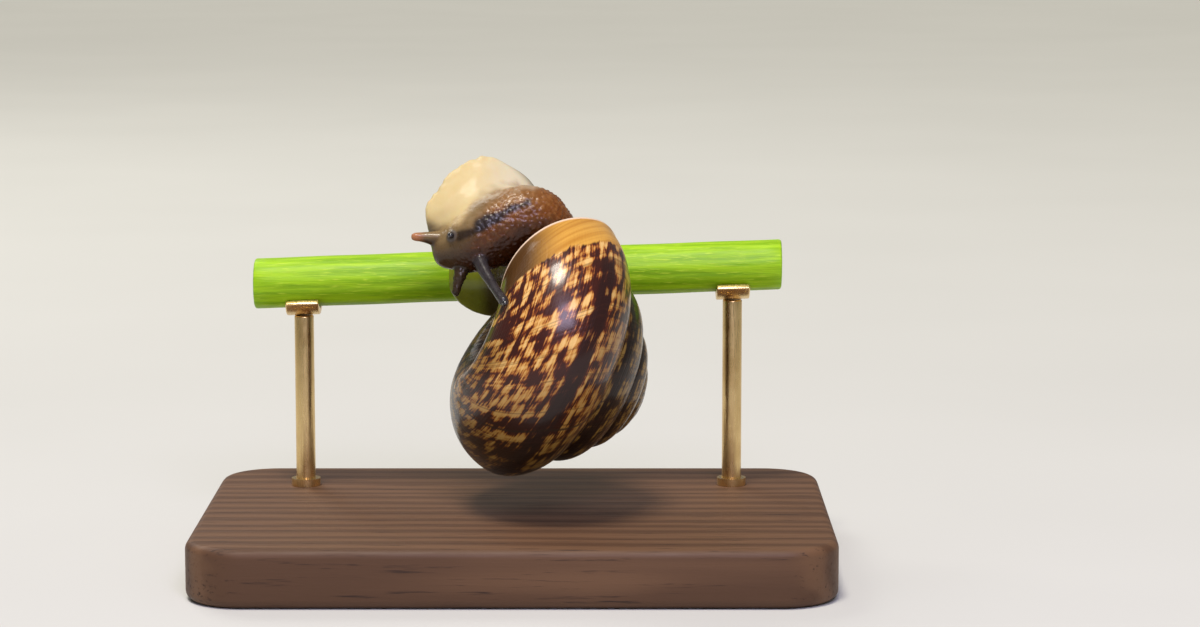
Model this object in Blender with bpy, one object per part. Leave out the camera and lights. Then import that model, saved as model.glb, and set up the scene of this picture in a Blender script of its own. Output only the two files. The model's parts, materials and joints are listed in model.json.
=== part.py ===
"""A copse snail (Arianta arbustorum, a garden snail) on a cut plant stem, held over a display stand.

The snail crawls along the near side of the stem, head to the left, sole on the stem, with its shell
hanging forward and down.  All that is on the stem is modelled about the stem: x along it to the right,
y through it to the back, z up, in millimetres.  One empty leans that whole group forward and sets it
over the stand, and scales nothing.
"""

from math import cos, degrees, exp, pi, radians, sin, tan

import bmesh
import bpy
from mathutils import Matrix, Vector

MM = 0.001

# Shell, as an opening (the aperture) that turns about the axis and shrinks towards the apex.
RING_CENTRE_R = 5.25      # middle of the opening, from the axis
RING_CENTRE_Z = 9.12      # the same, along the axis from the apex
RING_RADIAL = 5.05        # half-width of the opening, away from the axis
RING_TO_APEX = 3.71       # its half-height on the spire's side
RING_TO_BASE = 5.29       # its half-height on the base's side
RING_TILT = 8.6           # turn of the oval in its own plane
RING_SLANT = 24.7         # lean of the opening against the axis
RING_FULL = 0.16          # how much fuller than an oval the whorl is on its base, by the umbilicus
RING_FULL_AT = 100.0      # where round the opening that is
RING_FULL_WIDTH = 28.0
RING_FULL_ARC = 100.0     # the arc over which it fades out towards the lip
GROWTH = 1.428            # growth in one whorl
SPIRE_DOME = 1.57         # over 1, the spire is blunter than a cone
LATE_SLOWING = 0.14       # share of growth lost at the lip
SLOWING_ARC = 150.0       # arc over which growth slows
LIP_RISE = 0.3            # how far the whorl turns up again at the lip
WHORLS = 5.2
RINGS_PER_WHORL = 22
RING_SIDES = 18
TIP_RADIUS = 1.1          # the rounded first whorl
TIP_PLACE = 1.0
LIP_WALL = 0.45           # thickness of the rim
MOUTH_ARC = 30.0          # how far back the open mouth of the shell reaches

APEX = Vector((8.27, -5.2, -9.41))
SHELL_DROOP = 28.8        # the apex points this far below the stem's line
SHELL_LEAN = 20.0         # and this far to the back of it
SHELL_TURN = -6.4         # the opening's place round the axis

# Soft body.  A station is x, y, z of the middle, half-width across, half-depth.
TRUNK = (
    (3.4, -8.6, 0.6, 2.4, 2.0),
    (2.4, -9.5, 2.5, 2.1, 2.1),
    (1.1, -10.1, 3.6, 2.5, 2.15),
    (-0.6, -10.3, 3.2, 2.5, 2.1),
    (-2.3, -10.5, 2.4, 2.35, 1.95),
    (-3.6, -10.6, 1.8, 1.95, 1.7),
    (-4.5, -10.5, 1.55, 1.4, 1.3),
)
STALK = (
    (3.4, -9.4, -0.8, 2.9, 2.6),
    (2.4, -7.4, 0.6, 3.0, 2.6),
    (1.2, -5.2, 0.8, 2.7, 2.4),
    (0.6, -3.2, 0.3, 2.6, 2.2),
)
# A leaf's stations are x, lower edge, upper edge, half-thickness and the depth of its middle.
FLAP = (
    (-6.2, 2.5, 4.8, 0.35, -10.0),
    (-5.5, 1.8, 5.65, 0.6, -9.9),
    (-4.6, 1.2, 6.9, 0.95, -9.7),
    (-3.4, 1.0, 7.7, 1.3, -9.4),
    (-2.0, 0.6, 8.2, 1.5, -9.1),
    (-0.6, 0.4, 7.6, 1.5, -8.7),
    (0.9, 0.3, 6.6, 1.4, -8.0),
    (2.3, 0.3, 4.6, 1.1, -7.0),
)
FOOT = (
    (-4.9, -1.2, 0.8, 0.35, -2.2),
    (-4.1, -2.25, 1.6, 0.5, -2.3),
    (-2.4, -3.05, 2.2, 0.65, -2.4),
    (0.0, -3.1, 2.5, 0.8, -2.5),
    (2.0, -2.6, 2.6, 0.8, -2.5),
    (4.0, -1.6, 2.4, 0.6, -2.3),
    (5.6, -0.6, 2.0, 0.5, -2.2),
    (6.6, 0.3, 1.4, 0.35, -2.1),
)
# Cuts between the lengths of the body: a point, and the way to the side that "+" keeps.
CUTS = {
    "nape": ((-1.5, -10.5, 2.3), (-1, -0.4, -0.4)),
    "flap_line": ((-2.4, 0, 5.3), (-0.4, 0, 0.92)),
    "grip": ((0, -4.9, 0), (-0.3, 1, 0)),
    "waist": ((-1.5, 0, 0), (1, 0, 0)),
    "rump": ((4.0, 0, 0), (1, 0, 0)),
}
LENGTHS = {
    "head": ("+nape", "-grip", "-flap_line", "+lip"),
    "neck": ("-nape", "-grip", "-flap_line", "+lip"),
    "mantle_collar": ("-lip", "-grip"),
    "foot_flap": ("+flap_line",),
    "foot_front": ("+grip", "-waist"),
    "foot_middle": ("+grip", "+waist", "-rump"),
    "foot_tail": ("+grip", "+rump"),
}
LEAF_SIDES = 28
EDGE_CURL = 1.3           # how far a leaf's edges bend to the back
EDGE_CURL_WIDTH = 2.2
FLESH_VOXEL = 0.16
FLESH_FACES = 0.038       # share of the voxel faces that stay

# Feelers: x, y, z, radius at each station, root to tip.
FEELERS = {
    "tentacle_upper_left": (
        (-2.6, -11.0, 1.5, 0.55), (-2.2, -12.3, 0.4, 0.46), (-1.5, -13.5, -0.75, 0.32),
        (-0.85, -14.75, -1.7, 0.31), (-0.61, -15.15, -2.0, 0.34), (-0.56, -15.25, -2.07, 0.3)),
    "tentacle_upper_right": (
        (-3.9, -11.0, 2.25, 0.55), (-4.1, -11.5, 2.38, 0.46), (-4.22, -11.82, 2.44, 0.38)),
    "tentacle_lower_left": (
        (-3.6, -10.8, 0.5, 0.6), (-3.72, -11.25, -0.15, 0.45), (-3.9, -11.4, -0.95, 0.3),
        (-4.0, -11.45, -1.4, 0.27)),
    "tentacle_lower_right": (
        (-5.0, -10.8, 2.25, 0.6), (-5.7, -10.9, 2.33, 0.46), (-6.3, -11.0, 2.4, 0.33),
        (-6.85, -11.1, 2.42, 0.27)),
}
EYE_LEFT = (-0.5, -15.55, -2.17)
EYE_RIGHT = (-4.32, -12.16, 2.5)
FEELER_SIDES = 10
EYE_RADIUS = 0.22

# Stem.
STEM_RADIUS = 1.8
STEM_HALF = 19.0
STEM_RISE = 2.1           # degrees, up to the right
STEM_SIDES = 24
LEAN = 8.0                # the group's lean forward

# Stand.
BASE_SIZE = Vector((44.0, 30.0, 4.0))
BASE_CORNER = 4.0
BASE_BEVEL = 0.6
STEM_HEIGHT = 19.5
STEM_BACK = 8.0           # how far the stem is behind the base's middle
ROD_RADIUS = 0.7
ROD_PLACE = 15.5
ROD_DEPTH = 2.5           # how deep a rod stands in the base
CRADLE_ARC = 110.0
CRADLE_WALL = 0.5
CRADLE_LENGTH = 2.4

GAP = 0.1                 # between pieces that touch
KERF = 0.06               # between two lengths of one body


# Making things ----------------------------------------------------------------------------------

def material(name, colour, roughness, metallic=0.0):
    made = bpy.data.materials.new(name)
    made.use_nodes = True
    shader = made.node_tree.nodes["Principled BSDF"]
    shader.inputs["Base Color"].default_value = (*colour, 1.0)
    shader.inputs["Roughness"].default_value = roughness
    shader.inputs["Metallic"].default_value = metallic
    return made


def add_object(name, bm, finish=None, parent=None):
    """A new object from a bmesh in millimetres."""
    bmesh.ops.scale(bm, vec=(MM, MM, MM), verts=bm.verts)
    mesh = bpy.data.meshes.new(name)
    bm.to_mesh(mesh)
    bm.free()
    mesh.shade_smooth()
    mesh.set_sharp_from_angle(angle=radians(40))
    made = bpy.data.objects.new(name, mesh)
    bpy.context.scene.collection.objects.link(made)
    if finish:
        mesh.materials.append(finish)
    else:
        made.hide_render = True
        made.display_type = "WIRE"
    made.parent = parent
    return made


def bmesh_of(made):
    """The object's shape with its modifiers, in millimetres, as a new bmesh."""
    bpy.context.view_layer.update()
    shaped = made.evaluated_get(bpy.context.evaluated_depsgraph_get())
    bm = bmesh.new()
    bm.from_mesh(shaped.to_mesh())
    shaped.to_mesh_clear()
    bmesh.ops.scale(bm, vec=(1 / MM, 1 / MM, 1 / MM), verts=bm.verts)
    return bm


def boolean(made, operation, other, itself=False):
    step = made.modifiers.new(operation.lower(), "BOOLEAN")
    step.operation = operation
    step.object = other
    step.use_self = itself


def rings_into(bm, rings):
    """A tube through rings of points, closed at both ends."""
    loops = [[bm.verts.new(point) for point in ring] for ring in rings]
    for here, there in zip(loops, loops[1:]):
        for i, corner in enumerate(here):
            j = (i + 1) % len(here)
            bm.faces.new((corner, here[j], there[j], there[i]))
    bm.faces.new(reversed(loops[0]))
    bm.faces.new(loops[-1])
    bmesh.ops.recalc_face_normals(bm, faces=bm.faces)


def smooth_run(stations, steps):
    """Stations joined by a smooth curve through each of them."""
    ends = [stations[0], *stations, stations[-1]]
    run = []
    for a, b, c, d in zip(ends, ends[1:], ends[2:], ends[3:]):
        for i in range(steps):
            t = i / steps
            run.append([
                0.5 * (2 * q + (r - p) * t + (2 * p - 5 * q + 4 * r - s) * t ** 2
                       + (3 * q - p - 3 * r + s) * t ** 3)
                for p, q, r, s in zip(a, b, c, d)
            ])
    run.append(list(stations[-1]))
    return run


def tube_into(bm, stations, sides, steps=4, cap=3):
    """A round-ended tube: each station is x, y, z, half-width and, if it isn't round, half-depth."""
    run = smooth_run(stations, steps)
    middles = [Vector(point[:3]) for point in run]
    rings = []
    for i, point in enumerate(run):
        ahead = middles[min(i + 1, len(run) - 1)] - middles[max(i - 1, 0)]
        ahead.normalize()
        across = ahead.cross(Vector((0, 1, 0)))
        if across.length < 0.3:
            across = Vector((1, 0, 0))
        across.normalize()
        deep = ahead.cross(across)
        wide, thick = point[3], point[-1]
        ends = [(0, 1)]
        angles = [pi / 2 * j / cap for j in range(1, cap)]
        if i == 0:
            ends = [(-sin(a), cos(a)) for a in reversed(angles)] + ends
        if i == len(run) - 1:
            ends = ends + [(sin(a), cos(a)) for a in angles]
        for out, size in ends:
            middle = middles[i] + ahead * out * min(wide, thick)
            rings.append([
                middle
                + across * wide * size * cos(2 * pi * k / sides)
                + deep * thick * size * sin(2 * pi * k / sides)
                for k in range(sides)
            ])
    rings_into(bm, rings)


# Shell ------------------------------------------------------------------------------------------

def ring_size(turn):
    """Size of the opening at a turn in degrees: 1 at the lip, smaller towards the apex."""
    slowed = turn - LATE_SLOWING * SLOWING_ARC * (exp(turn / SLOWING_ARC) - 1)
    return GROWTH ** (slowed / 360)


def shell_ring(turn, inset=0.0):
    """The opening's outline at a turn, drawn in from the wall by an inset."""
    tilt, size = radians(RING_TILT), ring_size(turn)
    along = RING_CENTRE_Z * size ** SPIRE_DOME - LIP_RISE * exp(turn / 60)
    fade = RING_FULL * (1 - exp(turn / RING_FULL_ARC))
    ring = []
    for i in range(RING_SIDES):
        a = 2 * pi * i / RING_SIDES
        full = 1 + fade * exp(-((degrees(a) - RING_FULL_AT) / RING_FULL_WIDTH) ** 2)
        out = (RING_RADIAL - inset) * full * cos(a)
        down = ((RING_TO_BASE if sin(a) > 0 else RING_TO_APEX) - inset) * full * sin(a)
        r = RING_CENTRE_R + out * cos(tilt) - down * sin(tilt)
        z = out * sin(tilt) + down * cos(tilt)
        point = Vector((r * size, -z * tan(radians(RING_SLANT)) * size, z * size + along))
        ring.append(Matrix.Rotation(radians(turn), 3, "Z") @ point)
    return ring


def shell_frame():
    """Where the shell's apex is, and how its axis and opening are turned."""
    droop, lean = radians(SHELL_DROOP), radians(SHELL_LEAN)
    apexward = Vector((cos(droop), 0, -sin(droop)))
    back = Vector((0, 1, 0))
    x = Vector((sin(droop), 0, cos(droop)))
    y = back * cos(lean) - apexward * sin(lean)
    z = -apexward * cos(lean) - back * sin(lean)
    turned = Matrix((x, y, z)).transposed().to_4x4()
    return Matrix.Translation(APEX * MM) @ turned @ Matrix.Rotation(radians(SHELL_TURN), 4, "Z")


def shell_frame_mm():
    frame = shell_frame()
    frame.translation /= MM
    return frame


def add_shell(parent, finish):
    step = 360 / RINGS_PER_WHORL
    rings = [shell_ring(-step * i) for i in range(int(WHORLS * RINGS_PER_WHORL), -1, -1)]
    rings += [shell_ring(-t, LIP_WALL) for t in (0, 0.5 * MOUTH_ARC, MOUTH_ARC)]
    bm = bmesh.new()
    rings_into(bm, rings)
    coil = add_object("shell", bm, finish, parent)
    coil.matrix_local = shell_frame()
    bm = bmesh.new()
    bmesh.ops.create_icosphere(bm, subdivisions=2, radius=TIP_RADIUS,
                               matrix=Matrix.Translation((0, 0, TIP_PLACE)))
    tip = add_object("shell_tip_shape", bm, None, coil)
    boolean(coil, "UNION", tip, itself=True)
    return coil


def add_shell_room(shell):
    """The shell grown by the gap, to cut the soft body with."""
    bm = bmesh_of(shell)
    room = add_object("shell_room", bm, None, shell.parent)
    room.matrix_local = shell.matrix_local
    grow = room.modifiers.new("grow", "DISPLACE")
    grow.strength = GAP * MM
    grow.mid_level = 0.0
    return room


# Stem -------------------------------------------------------------------------------------------

def stem_height(x):
    """How far the stem's middle line is over the group's own line."""
    return x * tan(radians(STEM_RISE))


def stem_ring(x, radius, sides=STEM_SIDES):
    rise = stem_height(x)
    return [
        (x, radius * cos(2 * pi * i / sides), rise + radius * sin(2 * pi * i / sides))
        for i in range(sides)
    ]


def add_stem(parent, finish):
    """A straight length of stem, cut square, its rims softened and its pith sunk a little."""
    profile = ((0.8, 0.6), (0.0, 0.86), (0.0, 0.95), (0.12, 1.0))
    rings = [stem_ring(-STEM_HALF + inward, STEM_RADIUS * size) for inward, size in profile]
    rings += [stem_ring(STEM_HALF - inward, STEM_RADIUS * size) for inward, size in reversed(profile)]
    bm = bmesh.new()
    rings_into(bm, rings)
    return add_object("perch_stem", bm, finish, parent)


def add_stem_room(parent):
    bm = bmesh.new()
    rings_into(bm, [stem_ring(x, STEM_RADIUS + GAP) for x in (-STEM_HALF, STEM_HALF)])
    return add_object("stem_room", bm, None, parent)


# Soft body --------------------------------------------------------------------------------------

def leaf_into(bm, stations):
    """A leaf of flesh with thin rounded edges that bend to the back."""
    rings = []
    for x, low, high, half, depth in smooth_run(stations, 3):
        middle = (low + high) / 2
        ring = []
        for i in range(LEAF_SIDES):
            a = 2 * pi * i / LEAF_SIDES
            z = middle - (high - low) / 2 * cos(a)
            curl = EDGE_CURL * (1 - exp(-((z - middle) / EDGE_CURL_WIDTH) ** 2))
            ring.append((x, depth + curl + half * sin(a), z))
        rings.append(ring)
    rings_into(bm, rings)


def collar_into(bm):
    """The mantle's edge, which fills the shell's mouth."""
    rings = []
    for turn in (-MOUTH_ARC, -20, -10, -3):
        rings.append([shell_frame_mm() @ point for point in shell_ring(turn, LIP_WALL)])
    rings_into(bm, rings)


def add_flesh_whole(parent, cutters):
    """The soft body in one piece, melted together, thinned and cut clear of shell and stem."""
    bm = bmesh.new()
    tube_into(bm, TRUNK, 20)
    tube_into(bm, STALK, 20)
    leaf_into(bm, FLAP)
    leaf_into(bm, FOOT)
    collar_into(bm)
    whole = add_object("flesh_shape", bm, None, parent)
    melt = whole.modifiers.new("melt", "REMESH")
    melt.mode = "VOXEL"
    melt.voxel_size = FLESH_VOXEL * MM
    ease = whole.modifiers.new("ease", "SMOOTH")
    ease.factor = 0.5
    ease.iterations = 8
    thin = whole.modifiers.new("thin", "DECIMATE")
    thin.ratio = FLESH_FACES
    for cutter in cutters:
        boolean(whole, "DIFFERENCE", cutter)
    return whole


def lip_cut():
    """The plane of the shell's mouth, a little inside its rim, facing out."""
    frame = shell_frame_mm()
    slant = radians(RING_SLANT)
    outward = frame.to_3x3() @ Vector((0, cos(slant), sin(slant)))
    return frame @ Vector((RING_CENTRE_R, 0, RING_CENTRE_Z - LIP_RISE)), outward


def add_length(name, whole, sides, cuts, finish):
    """The part of the whole body on the named side of each cut, with its cut faces closed."""
    bm = bmesh_of(whole)
    for side in sides:
        point, way = cuts[side[1:]]
        way = Vector(way).normalized() * (1 if side[0] == "+" else -1)
        cut = bmesh.ops.bisect_plane(
            bm, geom=bm.verts[:] + bm.edges[:] + bm.faces[:], dist=1e-5,
            plane_co=Vector(point) + way * KERF / 2, plane_no=way, clear_inner=True)
        rim = [edge for edge in cut["geom_cut"] if isinstance(edge, bmesh.types.BMEdge)]
        bmesh.ops.holes_fill(bm, edges=rim, sides=0)
    bmesh.ops.triangulate(bm, faces=bm.faces)
    return add_object(name, bm, finish, whole.parent)


def add_feeler(name, stations, finish, body, parent):
    """A feeler, planted in a socket that it leaves in the head."""
    bm = bmesh.new()
    tube_into(bm, stations, FEELER_SIDES, steps=2)
    feeler = add_object(name, bm, finish, parent)
    bm = bmesh.new()
    tube_into(bm, [(*s[:3], s[3] + GAP / 2) for s in stations], FEELER_SIDES, steps=2)
    socket = add_object(name + "_socket", bm, None, parent)
    boolean(body, "DIFFERENCE", socket)
    return feeler


def add_eye(name, place, finish, feeler, parent):
    for radius, kind in ((EYE_RADIUS, "eye"), (EYE_RADIUS + GAP / 2, "room")):
        bm = bmesh.new()
        bmesh.ops.create_icosphere(bm, subdivisions=2, radius=radius,
                                   matrix=Matrix.Translation(place))
        if kind == "eye":
            add_object(name, bm, finish, parent)
        else:
            boolean(feeler, "DIFFERENCE", add_object(name + "_room", bm, None, parent))


# Stand ------------------------------------------------------------------------------------------

def stand_point(x):
    """Where the stem's middle line is over the stand, at x along it, in the stand's millimetres."""
    lean = radians(LEAN)
    rise = stem_height(x)
    return Vector((x, STEM_BACK + rise * sin(lean), STEM_HEIGHT + rise * cos(lean)))


def add_base(finish):
    """A flat plate with round corners and softened rims, and a hole for each rod."""
    bm = bmesh.new()
    bmesh.ops.create_cube(bm, size=1)
    bmesh.ops.scale(bm, vec=BASE_SIZE, verts=bm.verts)
    bmesh.ops.translate(bm, vec=(0, 0, BASE_SIZE.z / 2), verts=bm.verts)
    upright = [edge for edge in bm.edges if abs(edge.verts[0].co.z - edge.verts[1].co.z) > 1]
    bmesh.ops.bevel(bm, geom=upright, offset=BASE_CORNER, segments=5, profile=0.5, affect="EDGES")
    rims = [edge for edge in bm.edges if abs(edge.verts[0].co.z - edge.verts[1].co.z) < 1e-4
            and len({round(face.normal.z) for face in edge.link_faces}) > 1]
    bmesh.ops.bevel(bm, geom=rims, offset=BASE_BEVEL, segments=2, profile=0.5, affect="EDGES")
    base = add_object("stand_base", bm, finish)
    for side, place in (("left", -ROD_PLACE), ("right", ROD_PLACE)):
        foot = stand_point(place)
        bm = bmesh.new()
        bmesh.ops.create_cone(
            bm, cap_ends=True, segments=16, radius1=ROD_RADIUS + GAP, radius2=ROD_RADIUS + GAP,
            depth=2 * ROD_DEPTH, matrix=Matrix.Translation((foot.x, foot.y, BASE_SIZE.z)))
        boolean(base, "DIFFERENCE", add_object(f"rod_hole_{side}", bm))
    return base


def add_rod(side, place, finish):
    """An upright rod from its hole in the base to just under the cradle."""
    top = stand_point(place)
    bottom = BASE_SIZE.z - ROD_DEPTH + GAP
    height = top.z - STEM_RADIUS - GAP - CRADLE_WALL - GAP - bottom
    bm = bmesh.new()
    bmesh.ops.create_cone(
        bm, cap_ends=True, segments=16, radius1=ROD_RADIUS, radius2=ROD_RADIUS, depth=height,
        matrix=Matrix.Translation((top.x, top.y, bottom + height / 2)))
    return add_object(f"stand_rod_{side}", bm, finish)


def add_cradle(side, place, parent, finish):
    """A short gutter under the stem, which rides on the rod."""
    inner = STEM_RADIUS + GAP
    outer = inner + CRADLE_WALL
    half = radians(CRADLE_ARC / 2)
    down = -pi / 2 + radians(LEAN)
    steps = 10
    angles = [down - half + 2 * half * i / steps for i in range(steps + 1)]
    section = [(outer * cos(a), outer * sin(a)) for a in angles]
    section += [(inner * cos(a), inner * sin(a)) for a in reversed(angles)]
    rings = []
    for x in (place - CRADLE_LENGTH / 2, place + CRADLE_LENGTH / 2):
        rise = stem_height(x)
        rings.append([(x, y, z + rise) for y, z in section])
    bm = bmesh.new()
    rings_into(bm, rings)
    return add_object(f"stand_cradle_{side}", bm, finish, parent)


def main():
    for old in list(bpy.data.objects):
        bpy.data.objects.remove(old)
    horn = material("shell_horn", (0.25, 0.11, 0.04), 0.25)
    brown = material("skin_brown", (0.32, 0.16, 0.07), 0.35)
    cream = material("skin_cream", (0.75, 0.58, 0.34), 0.4)
    slate = material("feeler_slate", (0.10, 0.09, 0.09), 0.3)
    black = material("eye_black", (0.01, 0.01, 0.012), 0.08)
    green = material("stem_green", (0.33, 0.5, 0.06), 0.5)
    walnut = material("walnut", (0.13, 0.065, 0.03), 0.45)
    brass = material("brass", (0.72, 0.53, 0.25), 0.35, 1.0)

    group = bpy.data.objects.new("stem_line", None)
    bpy.context.scene.collection.objects.link(group)
    group.location = (0, STEM_BACK * MM, STEM_HEIGHT * MM)
    group.rotation_euler.x = radians(-LEAN)

    add_stem(group, green)
    shell = add_shell(group, horn)
    whole = add_flesh_whole(group, (add_stem_room(group), add_shell_room(shell)))
    cuts = {**CUTS, "lip": lip_cut()}
    finishes = {"head": brown, "neck": brown, "mantle_collar": brown}
    body = {
        name: add_length(name, whole, sides, cuts, finishes.get(name, cream))
        for name, sides in LENGTHS.items()
    }
    feelers = {
        name: add_feeler(name, stations, slate, body["head"], group)
        for name, stations in FEELERS.items()
    }
    add_eye("eye_left", EYE_LEFT, black, feelers["tentacle_upper_left"], group)
    add_eye("eye_right", EYE_RIGHT, black, feelers["tentacle_upper_right"], group)

    add_base(walnut)
    for side, place in (("left", -ROD_PLACE), ("right", ROD_PLACE)):
        add_rod(side, place, brass)
        add_cradle(side, place, group, brass)


main()
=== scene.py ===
# %% [markdown]
# # A copse snail on a plant stem
# A copse snail is one of the snails of gardens and hedges.  Here it is a still, life-size model, and
# its shell is 19 mm across.  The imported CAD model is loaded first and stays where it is, as a frame.
# Its nodes could simply be given better finishes, but they have few faces, so each visible piece is
# modelled again, finely, in its node's place.

# %% The frame
import bpy
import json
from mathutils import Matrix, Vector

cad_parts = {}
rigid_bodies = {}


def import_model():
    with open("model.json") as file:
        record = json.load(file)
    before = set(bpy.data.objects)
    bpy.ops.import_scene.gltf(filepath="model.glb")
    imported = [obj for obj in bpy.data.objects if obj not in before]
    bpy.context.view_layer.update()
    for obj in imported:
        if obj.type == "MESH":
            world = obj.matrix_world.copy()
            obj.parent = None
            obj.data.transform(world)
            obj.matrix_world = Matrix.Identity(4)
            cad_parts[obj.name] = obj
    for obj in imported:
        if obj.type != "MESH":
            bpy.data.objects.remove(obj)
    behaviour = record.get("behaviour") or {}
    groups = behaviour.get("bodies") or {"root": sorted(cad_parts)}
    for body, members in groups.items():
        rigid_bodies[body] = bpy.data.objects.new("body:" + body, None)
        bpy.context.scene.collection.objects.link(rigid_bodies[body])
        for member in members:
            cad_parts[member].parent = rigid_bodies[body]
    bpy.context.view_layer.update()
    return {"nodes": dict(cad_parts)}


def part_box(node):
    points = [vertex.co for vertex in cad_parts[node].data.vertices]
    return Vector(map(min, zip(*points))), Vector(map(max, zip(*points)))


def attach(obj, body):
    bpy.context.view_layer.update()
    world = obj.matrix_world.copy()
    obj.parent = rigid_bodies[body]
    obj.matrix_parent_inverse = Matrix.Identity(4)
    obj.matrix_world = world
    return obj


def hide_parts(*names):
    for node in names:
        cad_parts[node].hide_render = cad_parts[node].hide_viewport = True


for leftover in list(bpy.data.objects):
    bpy.data.objects.remove(leftover)
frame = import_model()
print("CAD nodes:", len(frame["nodes"]))

# %% [markdown]
# ## Units, and the stem's frame
# Blender works in metres, but a snail is measured in millimetres, so MM turns one into the other.
# The snail sits round the middle of its stem, and everything leans forwards a little with it.
# stem_frame leads from measures taken beside the stem to places in the room.

# %% Units and the stem's frame
import json
from math import cos, exp, pi, radians, sin, tan

import numpy as np
from mathutils import Matrix, Vector, noise

MM = 0.001
BODY = "root"
LEAN = radians(8)
stem_low, stem_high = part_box("perch_stem")
STEM_MIDDLE = (stem_low + stem_high) / 2
stem_frame = Matrix.Translation(STEM_MIDDLE) @ Matrix.Rotation(-LEAN, 4, "X")
print("stem's middle, mm:", [round(v / MM, 2) for v in STEM_MIDDLE])

# %% [markdown]
# ## Helpers
# An operator works on all that is selected, so each step starts by selecting only what it needs.
# These short functions do what a maker does with the mouse: pick one object, name a new primitive,
# apply a modifier, and go in and out of edit mode.


# %% Picking one object
def only(*objects):
    """Selects these objects and nothing else; the first is active."""
    if bpy.context.object and bpy.context.object.mode != "OBJECT":
        bpy.ops.object.mode_set(mode="OBJECT")
    bpy.ops.object.select_all(action="DESELECT")
    for one in objects:
        one.select_set(True)
    bpy.context.view_layer.objects.active = objects[0]


def start(name):
    """Names the primitive that was just added, and leaves only it selected."""
    piece = bpy.context.object
    piece.name = piece.data.name = name
    only(piece)
    return piece


# %% Modifiers and edit mode
def modify(piece, kind, **settings):
    """Adds one modifier, sets it and applies it."""
    only(piece)
    step = piece.modifiers.new(kind.lower(), kind)
    for key, value in settings.items():
        setattr(step, key, value)
    bpy.ops.object.modifier_apply(modifier=step.name)


def edit(piece, select="DESELECT"):
    """Opens a piece in edit mode, with all of it selected or none of it."""
    only(piece)
    bpy.ops.object.mode_set(mode="EDIT")
    bpy.ops.mesh.select_all(action=select)


def leave_edit():
    bpy.ops.object.mode_set(mode="OBJECT")


# %% [markdown]
# A finished piece gets its finish and smooth shading, and is then handed to the frame: it rides on
# the model's one body, and it stands for its CAD nodes, which are hidden.


# %% Handing a piece over
def hand_over(piece, slot, finish, *nodes, angle=None):
    """Edges sharper than the angle, in degrees, stay sharp; with no angle all are smooth."""
    only(piece)
    piece.data.materials.clear()
    piece.data.materials.append(finish)
    if angle:
        bpy.ops.object.shade_smooth_by_angle(angle=radians(angle))
    else:
        bpy.ops.object.shade_smooth()
    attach(piece, BODY)
    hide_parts(*nodes)
    print(piece.name, len(piece.data.polygons), "faces")


# %% [markdown]
# ## Finishes
# A finish is a small graph of nodes.  It could be drawn in the shader editor; in a script, a helper
# that adds and joins nodes in few words lets each recipe read as a list of steps.


# %% Adding and joining nodes
class Graph:
    """A material with a Principled shader, and ways to add nodes to it."""

    def __init__(self, name):
        self.material = bpy.data.materials.new(name)
        self.material.use_nodes = True
        self.tree = self.material.node_tree
        self.shader = self.tree.nodes["Principled BSDF"]

    def give(self, socket, value):
        """Joins a socket to another node's output, or sets it to a plain value."""
        if isinstance(value, bpy.types.NodeSocket):
            self.tree.links.new(value, socket)
        else:
            socket.default_value = value

    def add(self, kind, out=0, inputs=(), **settings):
        node = self.tree.nodes.new("ShaderNode" + kind)
        for key, value in settings.items():
            setattr(node, key, value)
        for key, value in dict(inputs).items():
            self.give(node.inputs[key], value)
        return node.outputs[out]

    def surface(self, **values):
        for key, value in values.items():
            self.give(self.shader.inputs[key.replace("_", " ")], value)


# %% [markdown]
# The steps that every recipe uses come next: sums, noises, colour ramps, soft steps, mixes and
# bumps.  Patterns are placed by Object coordinates, which stay on the piece from every side.


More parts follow.
